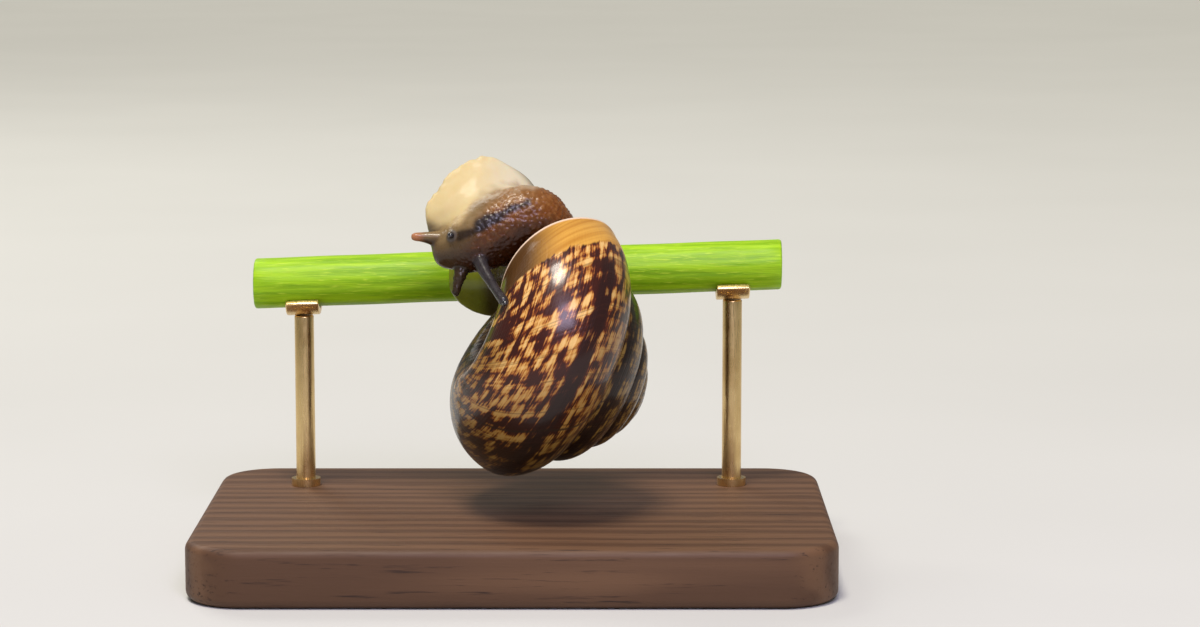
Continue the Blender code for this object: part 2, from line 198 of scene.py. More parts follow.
# %% Steps of a recipe
class Recipe(Graph):
    def math(self, operation, a, b=0.0):
        return self.add("Math", inputs={0: a, 1: b}, operation=operation)

    def times(self, a, b):
        return self.math("MULTIPLY", a, b)

    def plus(self, a, b):
        return self.math("ADD", a, b)

    def minus(self, a, b):
        return self.math("SUBTRACT", a, b)

    def most(self, a, b):
        return self.math("MAXIMUM", a, b)

    def step(self, value, low, high):
        """Rises softly from 0 at low to 1 at high; low may be the larger number."""
        return self.add("MapRange", inputs={0: value, 1: low, 2: high}, interpolation_type="SMOOTHSTEP")

    def between(self, value, rise, full, fall, gone):
        """0 outside rise and gone, and 1 from full to fall."""
        return self.times(self.step(value, rise, full), self.step(value, gone, fall))

    def noise(self, place, scale, detail=2.0, rough=0.5, warp=0.0):
        return self.add("TexNoise", inputs={
            "Vector": place, "Scale": scale, "Detail": detail, "Roughness": rough,
            "Distortion": warp})

    def shades(self, amount, *noises):
        """Adds noises to an amount, each set round 0 and given its own weight."""
        for weight, value in noises:
            amount = self.plus(amount, self.times(self.minus(value, 0.5), weight))
        return amount

    def ramp(self, factor, *stops):
        node = self.tree.nodes.new("ShaderNodeValToRGB")
        self.give(node.inputs[0], factor)
        band = node.color_ramp
        while len(band.elements) < len(stops):
            band.elements.new(0.5)
        for element, (place, colour) in zip(band.elements, stops):
            element.position = place
            value = (colour,) * 3 if isinstance(colour, (int, float)) else colour
            element.color = (*value, 1.0)
        return node.outputs[0]

    def mix(self, factor, a, b, blend="MIX"):
        node = self.tree.nodes.new("ShaderNodeMix")
        node.data_type = "RGBA"
        node.blend_type = blend
        for socket, value in ((node.inputs[0], factor), (node.inputs[6], a), (node.inputs[7], b)):
            if isinstance(value, tuple):
                value = (*value, 1.0)
            self.give(socket, value)
        return node.outputs[2]

    def bump(self, height, depth_mm, strength=1.0, under=None):
        inputs = {"Height": height, "Distance": depth_mm * MM, "Strength": strength}
        if under:
            inputs["Normal"] = under
        return self.add("Bump", inputs=inputs)

    def place(self, scale=(1.0, 1.0, 1.0), turn=(0.0, 0.0, 0.0)):
        """Object coordinates in millimetres, turned and stretched."""
        at = self.add("TexCoord", out=3)
        return self.add("Mapping", inputs={
            "Vector": at, "Scale": [s / MM for s in scale], "Rotation": turn})


# %% [markdown]
# ## Camera, light and floor
# The camera looks along the stem's own lean, a little down, so that the stem crosses the view almost
# level.  A short lens close by would stretch the shell towards the viewer; a long lens from further
# off keeps a small model's shape true.

# %% Camera
AIM = Vector((5.92, -9.0, -2.87))      # beside the stem's middle: rightward, ahead and up, in mm
VIEW_DISTANCE = 232
LENS, SENSOR = 100, 36


def add_camera():
    ahead = stem_frame.to_3x3() @ Vector((0, 1, 0))
    bpy.ops.object.camera_add(location=stem_frame @ (AIM * MM) - ahead * VIEW_DISTANCE * MM)
    camera = bpy.context.object
    camera.rotation_euler = ahead.to_track_quat("-Z", "Y").to_euler()
    camera.data.lens = LENS
    camera.data.sensor_width = SENSOR
    camera.data.clip_start = 0.005
    bpy.context.scene.camera = camera
    print("camera at", [round(v, 4) for v in camera.location])


add_camera()

# %% [markdown]
# The light is a plain soft studio.  A broad warm key lamp stands high in front, a weak bluish panel
# stands lower and gives the shell its long soft gleam, and a panel behind draws the rim.

# %% Light
SUBJECT = Vector((0.003, 0, 0.016))      # the snail's middle, in metres
STUDIO_AIR, STUDIO_STRENGTH = (0.92, 0.92, 0.88, 1.0), 0.24


def add_lamp(name, kind, place, colour, strength, size):
    """A sun's size is its angle in degrees; a panel's is its width in metres."""
    place = Vector(place)
    bpy.ops.object.light_add(type=kind, location=place)
    lamp = bpy.context.object
    lamp.name = name
    lamp.data.energy = strength
    lamp.data.color = colour
    if kind == "SUN":
        lamp.data.angle = radians(size)
    else:
        lamp.data.size = size
    lamp.rotation_euler = (SUBJECT - place).to_track_quat("-Z", "Y").to_euler()
    print(name, "is", round((SUBJECT - place).length, 2), "m away")


add_lamp("key_light", "SUN", (-0.045, -0.105, 0.40), (1.0, 0.93, 0.82), 2.6, 16)
add_lamp("sky_light", "AREA", (0.05, -0.32, 0.27), (0.77, 0.71, 1.0), 1.0, 0.16)
add_lamp("rim_light", "AREA", (-0.20, 0.26, 0.30), (1.0, 0.97, 0.92), 0.5, 0.20)
world = bpy.data.worlds.new("studio")
bpy.context.scene.world = world
world.use_nodes = True
world.node_tree.nodes["Background"].inputs[0].default_value = STUDIO_AIR
world.node_tree.nodes["Background"].inputs[1].default_value = STUDIO_STRENGTH
bpy.context.scene.view_settings.view_transform = "Standard"

# %% Floor
FLOOR_SIZE, FLOOR_DROP = 8.0, 0.00005


def floor_paint():
    r = Recipe("floor_paint")
    r.surface(
        Base_Color=r.ramp(r.noise(r.place(), 0.02), (0.0, (0.55, 0.56, 0.535)), (1.0, (0.59, 0.60, 0.575))),
        Roughness=0.8)
    return r.material


bpy.ops.mesh.primitive_plane_add(size=FLOOR_SIZE, location=(0, 0, -FLOOR_DROP))
floor = start("floor")
floor.data.materials.append(floor_paint())
print("floor", FLOOR_SIZE, "m wide")

# %% [markdown]
# ## The shell
# A snail's shell grows at its mouth: the mantle adds a ring of horn, each a little larger, further
# round and further down than the last.  The model grows the same way.  One outline of the mouth is
# drawn at the tip, and is extruded, enlarged, moved and turned ring by ring to the lip.  A screw
# modifier can't enlarge as it turns, and an array would leave the rings unjoined.

# %% Shell measures, in millimetres and degrees
RING_CENTRE_R, RING_CENTRE_Z = 5.25, 9.12      # the mouth's middle, from the axis and from the apex
RING_RADIAL, RING_TO_APEX, RING_TO_BASE = 5.05, 3.71, 5.29      # the mouth's half-widths
RING_TILT, RING_SLANT = radians(8.6), radians(24.7)      # the mouth's lean in its plane, and sideways
RING_FULL, RING_FULL_ARC = 0.16, 100.0      # how much fuller the base is, fading out to the lip
RING_FULL_AT, RING_FULL_WIDTH = 100.0, 28.0      # where that is round the mouth, and how wide
OLD_TURN = -1000.0           # a turn so far behind the lip that the whorl is at its fullest
GROWTH, SPIRE_DOME = 1.428, 1.57      # a ring's growth in one whorl, and how domed the spire is
LATE_SLOWING, SLOWING_ARC = 0.14, 150.0      # growth slows towards the lip
LIP_RISE, LIP_RISE_ARC = 0.3, 60.0
WHORLS, SHELL_SIDES = 6.4, 36
FINE_ARC, FINE_STEP, COARSE_STEP = 420.0, 2.0, 6.0


# %% Size, height and outline of a ring
def ring_size(turn):
    slowed = turn - LATE_SLOWING * SLOWING_ARC * (exp(turn / SLOWING_ARC) - 1)
    return GROWTH ** (slowed / 360)


def ring_along(turn):
    return RING_CENTRE_Z * ring_size(turn) ** SPIRE_DOME - LIP_RISE * exp(turn / LIP_RISE_ARC)


def mouth_point(share, inset=0.0, turn=OLD_TURN):
    """A point of the mouth's outline at full size; share 0 is at the axis and 0.5 at the periphery.

    The whorl is fuller on its base than an oval, except near the lip.
    """
    a = pi + 2 * pi * share
    from_base = ((180 + 360 * share) % 360 - RING_FULL_AT) / RING_FULL_WIDTH
    full = 1 + RING_FULL * (1 - exp(min(turn, 0) / RING_FULL_ARC)) * exp(-from_base ** 2)
    out = (RING_RADIAL - inset) * full * cos(a)
    down = ((RING_TO_BASE if sin(a) > 0 else RING_TO_APEX) - inset) * full * sin(a)
    r = RING_CENTRE_R + out * cos(RING_TILT) - down * sin(RING_TILT)
    z = out * sin(RING_TILT) + down * cos(RING_TILT)
    return Vector((r, -z * tan(RING_SLANT), z))


print("last whorl is", round(1 / ring_size(-360), 2), "times as large as the one before")


# %% Growing the shell
def grow_shell():
    """Gives the shell, and the turn in degrees of each of its rings; the lip is at 0."""
    turns = []
    turn = -WHORLS * 360
    while turn < -0.01:
        turns.append(turn)
        turn += FINE_STEP if turn > -FINE_ARC else COARSE_STEP
    turns.append(0.0)
    bpy.ops.mesh.primitive_circle_add(vertices=SHELL_SIDES, radius=1.0, fill_type="NGON")
    shell = start("snail_shell")
    first = turns[0]
    for vertex in shell.data.vertices:
        point = mouth_point(vertex.index / SHELL_SIDES) * ring_size(first)
        point.z += ring_along(first)
        vertex.co = Matrix.Rotation(radians(first), 3, "Z") @ point
    edit(shell, "SELECT")
    bpy.ops.mesh.select_mode(type="EDGE")
    for before, turn in zip(turns, turns[1:]):
        k = ring_size(turn) / ring_size(before)
        bpy.ops.mesh.extrude_edges_move()
        bpy.ops.transform.resize(value=(k, k, k), center_override=(0, 0, ring_along(before)))
        bpy.ops.transform.translate(value=(0, 0, ring_along(turn) - ring_along(before)))
        bpy.ops.transform.rotate(
            value=-radians(turn - before), orient_axis="Z", center_override=(0, 0, 0))
    return shell, turns


shell, turns = grow_shell()
print("rings", len(turns))

# %% [markdown]
# The lip turns outwards a little, is rounded over, and leads to the inner wall, which runs back into
# the mouth.  A Solidify modifier would give the wall, but not the rounded lip, so a few more rings
# make both, each drawn in from the outline by its own amount.

# %% Lip and inner wall
LIP_FLARE, FLARE_ARC = 0.10, 1.6
WALL = 0.42
# Each ring is a turn past the lip, in degrees, and how far in from the outline it is drawn.
LIP_TURNS = ((0.45, 0.0), (0.75, 0.09), (0.8, 0.2), (0.55, 0.32), (0.0, 0.42), (-1.5, 0.5))
WALL_TURNS = (-4.0, -9.0, -16.0, -24.0, -30.0)
lip_rings = LIP_TURNS + tuple((turn, WALL) for turn in WALL_TURNS)


def set_ring(shell, start_at, turn, inset):
    """Puts one ring of vertices on the outline of the mouth at a turn."""
    turning = Matrix.Rotation(radians(turn), 3, "Z")
    for i in range(SHELL_SIDES):
        point = mouth_point(i / SHELL_SIDES, inset, turn) * ring_size(turn)
        point.z += ring_along(turn)
        shell.data.vertices[start_at + i].co = turning @ point


for turn, inset in lip_rings:
    bpy.ops.mesh.extrude_edges_move()
    leave_edit()
    set_ring(shell, len(shell.data.vertices) - SHELL_SIDES, turn, inset - LIP_FLARE)
    turns.append(turn)
    bpy.ops.object.mode_set(mode="EDIT")
bpy.ops.mesh.edge_face_add()
leave_edit()
for i, turn in enumerate(turns[:-len(lip_rings)]):
    if turn > -FINE_ARC:
        set_ring(shell, i * SHELL_SIDES, turn, -LIP_FLARE * exp(turn / FLARE_ARC))
print("rings with the inner wall", len(turns))

# %% [markdown]
# Two numbers say where a point is on the shell: how many whorls back from the lip it was made, and
# its share of the way round the whorl.  They go into a UV map, because the flecks and bands follow
# the growth and not the room.  The share is 0.5 at the periphery, and its seam is hidden inside.

# %% The growth map
INNER, INNER_RINGS = 0.03, 5      # the inner wall's u runs this far past the lip, over so many rings
ring_u = [-turn / 360 for turn in turns]
outer_rings = len(turns) - len(lip_rings)
for i in range(outer_rings, len(turns)):
    ring_u[i] = -INNER * min(1.0, (i - outer_rings + 1) / INNER_RINGS)
growth_map = shell.data.uv_layers.new(name="growth")
for face in shell.data.polygons:
    corners = [divmod(shell.data.loops[k].vertex_index, SHELL_SIDES) for k in face.loop_indices]
    wraps = len(corners) == 4 and max(c[1] for c in corners) - min(c[1] for c in corners) > 1
    for k, (ring, side) in zip(face.loop_indices, corners):
        share = 1.0 if wraps and side == 0 else side / SHELL_SIDES
        growth_map.data[k].uv = (ring_u[ring], share)

# %% The same two numbers on the vertices
made_at = shell.data.attributes.new("made_at", "FLOAT", "POINT")
made_at.data.foreach_set("value", np.repeat(ring_u, SHELL_SIDES))
around = shell.data.attributes.new("around", "FLOAT", "POINT")
around.data.foreach_set("value", np.tile(np.arange(SHELL_SIDES) / SHELL_SIDES, len(turns)))
modify(shell, "SUBSURF", levels=1, render_levels=1)
print("shell faces", len(shell.data.polygons))

# %% [markdown]
# A shell isn't smooth: each growth stop leaves a fine ridge along the lip's line, and one deep line
# marks a long rest.  A bump map would hide at the outline, so the ridges are real: a vertex group
# holds their height, and a Displace modifier raises the surface by it.

# %% Growth ridges
REST_LINE, REST_WIDTH, REST_DEPTH = 0.303, 0.0030, 0.9      # the rest, in whorls back from the lip
LINE_BEND, BEND_FROM = 0.22, 0.48      # how the growth lines lag towards the base
RIDGE_HEIGHT = 0.05
FINE_RIDGES, BROAD_RIDGES = 95, 31      # in one whorl
OUTSIDE = 0.02               # horn made this many whorls back is surely outside the lip
WEIGHT_STEPS = 60


def weigh(piece, name, values):
    """A vertex group with a weight of 0 to 1 for each vertex."""
    group = piece.vertex_groups.new(name=name)
    steps = np.round(np.clip(values, 0, 1) * WEIGHT_STEPS).astype(int)
    for level in np.unique(steps):
        if level:
            members = [int(i) for i in np.nonzero(steps == level)[0]]
            group.add(members, level / WEIGHT_STEPS, "REPLACE")


def read(piece, name):
    values = np.zeros(len(piece.data.vertices))
    piece.data.attributes[name].data.foreach_get("value", values)
    return values


def ridge(back):
    """Height of the growth ridges at a number of whorls back from the lip."""
    fine = noise.noise(Vector((back * FINE_RIDGES, 3.1, 0)))
    broad = noise.noise(Vector((back * BROAD_RIDGES, 7.7, 0)))
    return 0.5 + 0.45 * fine + 0.4 * broad


back, around = read(shell, "made_at"), read(shell, "around")
formed = back - LINE_BEND * np.maximum(0, around - BEND_FROM) * (back > OUTSIDE)
samples = np.linspace(-1, WHORLS, 40000)
height = np.interp(formed, samples, np.array([ridge(value) for value in samples]))
height = np.where(back < OUTSIDE, 0.5, height)
height -= REST_DEPTH * np.exp(-((formed - REST_LINE) / REST_WIDTH) ** 2)
weigh(shell, "ridges", height)
modify(shell, "DISPLACE", vertex_group="ridges", strength=RIDGE_HEIGHT, mid_level=0.5)
print("ridges from", round(float(height.min()), 2), "to", round(float(height.max()), 2))

# %% [markdown]
# The shell has grown upright on its own axis.  It hangs from the body with the spire drooping to the
# right, so its mesh is now turned and moved there, and shrunk from millimetres to metres.  The
# object itself stays at the origin.

# %% Setting the shell in its place
APEX = Vector((8.27, -5.2, -9.41))      # the tip of the spire, beside the stem's middle
DROOP, SHELL_LEAN, SHELL_TURN = radians(28.8), radians(20.0), radians(-6.4)
apexward = Vector((cos(DROOP), 0, -sin(DROOP)))
backward = Vector((0, 1, 0))
axes = Matrix((
    (sin(DROOP), 0, cos(DROOP)),
    backward * cos(SHELL_LEAN) - apexward * sin(SHELL_LEAN),
    -apexward * cos(SHELL_LEAN) - backward * sin(SHELL_LEAN),
)).transposed().to_4x4()
shell_frame = (stem_frame @ Matrix.Translation(APEX * MM) @ axes
               @ Matrix.Rotation(SHELL_TURN, 4, "Z"))
shell.data.transform(shell_frame @ Matrix.Scale(MM, 4))
shell_points = np.array([v.co for v in shell.data.vertices])
print("shell, mm:", (np.ptp(shell_points, axis=0) / MM).round(2))

# %% [markdown]
# ## The shell's finish
# The horn is dark chestnut.  Tan flecks lie in rows that follow the growth lines; each is long along
# the whorl and is combed by the fine spiral lines.  They could be painted, but noise that is
# stretched along the growth map gives them on every side of the shell.  This recipe reads the map.

# %% Growth coordinates
WHORL_MM, ROUND_MM = 53.0, 28.0      # length of the last whorl, and the way round it


class HornRecipe(Recipe):
    """A recipe that knows how far back the horn was made, and its share of the way round."""

    def __init__(self, name):
        super().__init__(name)
        parts = self.tree.nodes.new("ShaderNodeSeparateXYZ")
        self.give(parts.inputs[0], self.add("UVMap", uv_map="growth"))
        self.back, self.share = parts.outputs[0], parts.outputs[1]
        past_bend = self.most(self.minus(self.share, BEND_FROM), 0.0)
        self.lag = self.times(past_bend, LINE_BEND)
        self.formed = self.minus(self.back, self.lag)

    def stretched(self, along, across, shift=0.0):
        """Coordinates in which a cell is so many millimetres along the whorl and across it."""
        return self.add("CombineXYZ", inputs={
            0: self.times(self.formed, WHORL_MM / along),
            1: self.times(self.share, ROUND_MM / across), 2: shift})

    def streaks(self, along, across, shift=0.0, detail=1.0, rough=0.5, warp=0.0):
        """Noise with cells of that size; the shift keeps one noise unlike another."""
        return self.noise(self.stretched(along, across, shift), 1.0, detail, rough, warp)


# %% [markdown]
# A blackish band runs over the periphery, and parts of the horn are darker: the older part, the
# base's side and the spire's side.  A darkened part has darker flecks, and later a rougher surface.


# %% Band and darkening
def dark_band(r):
    """The band; on the older whorls it lies a little nearer to the seam."""
    older = r.step(r.back, 0.5, 1.1)
    above = r.plus(r.share, r.times(older, 0.045))
    band = r.between(above, 0.452, 0.466, 0.498, 0.512)
    return r.times(band, r.step(r.back, 0.06, 0.09))


# The horn is made darker towards the older whorls, the base's side and the spire's side.
def darkening(r):
    older = r.times(r.step(r.formed, 0.17, 0.27), 0.80)
    baseward = r.times(r.step(r.share, 0.62, 0.70), r.step(r.back, 0.15, 0.21))
    spireward = r.times(r.step(r.share, 0.47, 0.43), 0.80)
    return r.most(r.most(older, baseward), spireward)


# %% [markdown]
# The flecks come from one number, the light: cells give their places, noises break them up and set
# them in rows, and a comb of fine lines frays them.  A ramp then turns the light into colours, from
# the chestnut ground to the tan of a fleck.

# %% Flecks
FRESH_HORN = (
    (0.42, (0.042, 0.008, 0.005)), (0.48, (0.135, 0.026, 0.008)), (0.52, (0.36, 0.120, 0.020)),
    (0.57, (0.60, 0.305, 0.070)), (0.68, (0.75, 0.48, 0.17)))
OLDER_HORN = (
    (0.42, (0.026, 0.011, 0.003)), (0.48, (0.080, 0.030, 0.006)), (0.52, (0.19, 0.095, 0.018)),
    (0.57, (0.33, 0.20, 0.045)), (0.68, (0.45, 0.30, 0.085)))
BAND_BROWN, LINE_BROWN, DARKENING_TINT = (0.010, 0.005, 0.005), (0.035, 0.010, 0.006), (0.45, 0.38, 0.21)


def fleck_light(r, band, darkened):
    """High in a fleck, low between flecks, and lowered in the band and on one plain patch."""
    spots = r.add("TexVoronoi", inputs={
        "Vector": r.stretched(1.55, 0.66), "Scale": 1.0, "Randomness": 0.9}, voronoi_dimensions="2D")
    fleck = r.streaks(1.15, 0.33, 0.0, 3.0, 0.6, 0.3)
    row, thin_row = r.streaks(1.5, 14.0, 9.0), r.streaks(0.42, 9.0, 11.0)
    comb = r.streaks(2.4, 0.115, 2.0)
    light = r.shades(0.508, (-0.42, r.plus(spots, 0.10)), (0.62, fleck), (0.42, row),
                     (0.30, thin_row), (0.42, comb))
    light = r.minus(light, r.times(band, 0.17))
    light = r.plus(light, r.times(r.step(r.share, 0.455, 0.440), 0.05))
    patch = r.between(r.back, 0.135, 0.145, 0.172, 0.182)
    patch = r.times(patch, r.step(r.share, 0.655, 0.68))
    light = r.minus(light, r.times(patch, 0.22))
    return r.minus(light, r.times(darkened, 0.022))


def flecked(r, band, darkened):
    light = fleck_light(r, band, darkened)
    older = r.step(r.formed, 0.26, 0.38)
    colour = r.mix(older, r.ramp(light, *FRESH_HORN), r.ramp(light, *OLDER_HORN))
    colour = r.mix(r.times(band, 0.6), colour, BAND_BROWN)
    thin_line = r.step(r.streaks(0.30, 26.0, 51.0), 0.60, 0.68)
    colour = r.mix(r.times(thin_line, 0.45), colour, LINE_BROWN)
    return r.mix(darkened, colour, DARKENING_TINT, "MULTIPLY")


# %% [markdown]
# The newest horn, next to the lip, has no pattern yet and is honey-coloured.  The flecks begin along
# a jagged line, and the lip's own edge is pale.

# %% Honey-coloured lip
HONEY, HONEY_SHADED = ((0.47, 0.205, 0.022), (0.66, 0.35, 0.058)), (0.085, 0.038, 0.010)
LIP_PALE = (0.80, 0.62, 0.45)
PLAIN_HORN, PLAIN_BEND = 0.047, -0.55      # whorls of plain horn, and how its end bends with the lines


def with_lip(r, colour):
    honey = r.mix(r.step(r.streaks(0.45, 9.0, 15.0, 2.0), 0.3, 0.7), *HONEY)
    # Painted shadow: the honey horn darkens towards the lip's lower-left end, next to the head.
    honey = r.mix(r.step(r.share, 0.58, 0.69), honey, HONEY_SHADED)
    limit = r.plus(PLAIN_HORN, r.times(r.lag, PLAIN_BEND))
    jagged = r.shades(r.formed, (0.018, r.streaks(3.0, 0.4, 20.0, 3.0, 0.6)))
    unmarked = r.step(r.minus(jagged, limit), 0.003, -0.002)
    colour = r.mix(unmarked, colour, honey)
    return r.mix(r.step(r.back, 0.0035, 0.0), colour, LIP_PALE)


# %% [markdown]
# Fresh horn is glossy under a thin clear skin, which is the shader's coat.  The hollow round the
# shell's navel is painted dark brown as shade, and gets less coat and more roughness so that it
# reflects less; the darkened parts get more roughness too.

# %% Horn
REST_BROWN, HOLLOW_PAINTED_SHADE = (0.015, 0.008, 0.004), (0.022, 0.009, 0.004)


def shell_horn():
    r = HornRecipe("shell_horn")
    band, darkened = dark_band(r), darkening(r)
    hollow = r.times(r.step(r.share, 0.76, 0.83), r.step(r.back, 0.30, 0.42))
    colour = with_lip(r, flecked(r, band, darkened))
    from_rest = r.math("ABSOLUTE", r.minus(r.formed, REST_LINE))
    colour = r.mix(r.times(r.step(from_rest, 0.0028, 0.0008), 0.8), colour, REST_BROWN)
    # Painted shade: the hollow round the navel is darkened as a recess in shadow.
    colour = r.mix(r.times(hollow, 0.9), colour, HOLLOW_PAINTED_SHADE)
    spiral, growth = r.streaks(6.0, 0.15, 30.0, 1.0, 0.4), r.streaks(0.22, 14.0, 33.0, 2.0)
    rougher_parts = r.most(r.times(darkened, 0.14), r.times(hollow, 0.35))
    r.surface(
        Base_Color=colour,
        Coat_Weight=r.minus(0.62, r.times(hollow, 0.57)),
        Roughness=r.plus(r.ramp(growth, (0.3, 0.31), (0.7, 0.40)), rougher_parts),
        Normal=r.bump(growth, 0.05, 0.5, r.bump(spiral, 0.05, 0.6)))
    r.surface(
        IOR=1.31, Specular_Tint=(1.0, 0.82, 0.78, 1.0), Coat_Roughness=0.16, Coat_IOR=1.4)
    return r.material


hand_over(shell, "shell", shell_horn(), "shell", angle=60)

# %% [markdown]
# ## The skin
# One skin covers the head, the neck, the foot and the feelers.  It starts from copies of the CAD
# lengths, so it has their shape and place.  Their cut rims are creased so that they stay put while a
# subdivision rounds the rest; the copies then swell a little until they meet, and a voxel remesh
# melts them into one closed body.  A Boolean union would keep a seam at every cut.

# %% Copies of the lengths
FLESH_NAMES = ["head", "neck", "mantle_collar", "foot_flap", "foot_front", "foot_middle", "foot_tail"]
FEELER_NAMES = [f"tentacle_{level}_{side}" for level in ("upper", "lower") for side in ("left", "right")]
SAME_PLACE = 1e-7            # metres
CUT_RIM = radians(50)        # edges sharper than this are the rims of cuts


def copy_of(name):
    mesh = frame["nodes"][name].data.copy()
    made = bpy.data.objects.new("copy_" + name, mesh)
    bpy.context.scene.collection.objects.link(made)
    edit(made, "SELECT")
    bpy.ops.mesh.remove_doubles(threshold=SAME_PLACE)
    bpy.ops.mesh.select_all(action="DESELECT")
    bpy.ops.mesh.select_mode(type="EDGE")
    bpy.ops.mesh.edges_select_sharp(sharpness=CUT_RIM)
    bpy.ops.transform.edge_crease(value=1.0)
    leave_edit()
    return made


copies = [copy_of(name) for name in FLESH_NAMES + FEELER_NAMES]
print("lengths copied:", len(copies))

# %% One closed body
SKIN_GAP, SKIN_VOXEL = 0.045, 0.093
only(*copies)
bpy.ops.object.join()
skin = start("snail_skin")
modify(skin, "SUBSURF", levels=2, render_levels=2)
modify(skin, "DISPLACE", strength=SKIN_GAP * MM, mid_level=0.0)
modify(skin, "REMESH", mode="VOXEL", voxel_size=SKIN_VOXEL * MM)
modify(skin, "SMOOTH", factor=0.5, iterations=10)
print("skin faces", len(skin.data.polygons))

# %% [markdown]
# What the skin looks like depends on the place.  These functions read the place of every vertex at
# once, with numpy, because one by one would be slow: the distance from a bent line, a soft step from
# 0 to 1, and a soft noise that keeps borders from being straight.


# %% Places on the skin
def places(piece):
    """Vertices in the stem's frame, in millimetres, and their normals."""
    count = len(piece.data.vertices)
    flat, normals = np.zeros(count * 3), np.zeros(count * 3)
    piece.data.vertices.foreach_get("co", flat)
    piece.data.vertices.foreach_get("normal", normals)
    turning = np.array(stem_frame.to_3x3())
    at = ((flat.reshape(-1, 3) - np.array(STEM_MIDDLE)) / MM) @ turning
    return at, normals.reshape(-1, 3) @ turning


def ease(value, low, high):
    t = np.clip((value - low) / (high - low), 0, 1)
    return t * t * (3 - 2 * t)


def from_line(points, line):
    """Distance from a bent line, and how far along it, from 0 to 1."""
    line = np.array(line, float)
    best = np.full(len(points), 1e9)
    along = np.zeros(len(points))
    total, run = np.linalg.norm(np.diff(line, axis=0), axis=1).sum(), 0.0
    for a, b in zip(line, line[1:]):
        way = b - a
        t = np.clip((points - a) @ way / (way @ way), 0, 1)
        away = np.linalg.norm(points - a - t[:, None] * way, axis=1)
        nearer = away < best
        best = np.where(nearer, away, best)
        along = np.where(nearer, (run + t * np.linalg.norm(way)) / total, along)
        run += np.linalg.norm(way)
    return best, along


def rough(points, size, seed):
    """Soft noise from -1 to 1 at each point."""
    return np.array([noise.noise(Vector(p / size) + Vector((seed, 0, 0))) for p in points])


# %% [markdown]
# The cream flap of the foot runs into the head without a step.  The crease between them is filled by
# smoothing it alone for a long time, with a vertex group that is strong along it and nil on the
# feelers.

# %% Filling the crease
FEELER_LINES = {             # from root to tip, beside the stem's middle, in mm
    "upper_left": ((-2.2, -12.3, 0.4), (-1.5, -13.5, -0.75), (-0.85, -14.75, -1.7), (-0.56, -15.3, -2.1)),
    "lower_left": ((-3.72, -11.25, -0.1), (-3.9, -11.4, -0.95), (-4.0, -11.45, -1.45)),
    "lower_right": ((-5.3, -10.85, 2.3), (-6.3, -11.0, 2.4), (-6.9, -11.1, 2.42)),
    "upper_right": ((-4.0, -11.2, 2.3), (-4.22, -11.82, 2.44), (-4.3, -12.1, 2.49)),
}
CREASE_X = (-5.9, -5.2, -4.3, -3.5, -2.25, -1.0, 0.7, 2.0)
CREASE_Z = (2.7, 3.2, 3.9, 4.5, 5.4, 5.8, 6.2, 6.1)
CREASE_WIDTH, CREASE_PASSES = 0.9, 260
at, facing = places(skin)
off_crease = at[:, 2] - np.interp(at[:, 0], CREASE_X, CREASE_Z)
on_feeler = np.min([from_line(at, line)[0] for line in FEELER_LINES.values()], axis=0)
weigh(skin, "crease", np.exp(-(off_crease / CREASE_WIDTH) ** 2) * ease(-at[:, 1], 8.2, 9.0)
      * ease(3.0 - at[:, 0], 0.0, 1.5) * ease(on_feeler, 0.5, 1.0))
modify(skin, "SMOOTH", vertex_group="crease", factor=0.5, iterations=CREASE_PASSES)
print("vertices on the crease:", int((abs(off_crease) < CREASE_WIDTH).sum()))

# %% [markdown]
# ## Marks on the skin
# Each mark is a share from 0 to 1 for every vertex: how cream, grey or dark the skin is there.  The
# broad ones come first.  The flap is cream, milky at its top; the muzzle is grey; the neck is golden
# above, with painted shade underneath; the foot's sole is olive, which is painted shade tinted green
# by light from the stem; and the stalk is dark, partly with painted shadow.

# %% Broad marks
CREAM_X = (-5.7, -4.6, -3.8, -3.1, -2.4, -1.0, 1.0, 3.0)
CREAM_Z = (3.2, 3.3, 3.5, 4.3, 5.2, 5.75, 6.1, 6.1)      # the flap's lower border
at, facing = places(skin)
x, y, z = at.T
wobble = rough(at, 0.8, 5.0)
cream_line = np.interp(x, CREAM_X, CREAM_Z)
cream = ease(z - cream_line + 0.35 * wobble, -0.6, 0.7)
cream = np.maximum(cream, ease(y, -9.0, -8.2) * ease(z, 4.0, 5.4))
milky = ease(x + 0.4 * wobble, -3.4, 0.0)
# The foot's sole lies in the head's shade: its olive is its pale skin in painted shade, tinted green by
# light from the stem.
foot = ease(y + 0.3 * wobble, -4.6, -3.3)
# The stalk is dark brown, and the second term adds painted shadow under the neck, near the lip.
stalk_and_shadow = np.maximum(ease(y, -8.2, -6.5) * (1 - foot), ease(x, -3.0, -1.8) * ease(y, -7.5, -5.5))
grey = ease(-x + 0.5 * (z - 2.0) + 0.3 * wobble, 2.1, 4.0) * (1 - cream)
# Painted shade: skin that faces down is darkened, as shade under the neck and head.
under = ease(-facing[:, 2] + 0.25 * wobble, -0.55, 0.45) * (1 - foot)
golden = ease(z - cream_line + 0.4 * wobble, -2.4, -0.4) * ease(3.2 - x, 0.0, 4.0) * (1 - grey)
print("cream share of the skin:", round(float(cream.mean()), 2))

# %% [markdown]
# The small marks follow lines: a dark stripe along the neck, a streak behind the eye, and the four
# feelers, each with its own colour.

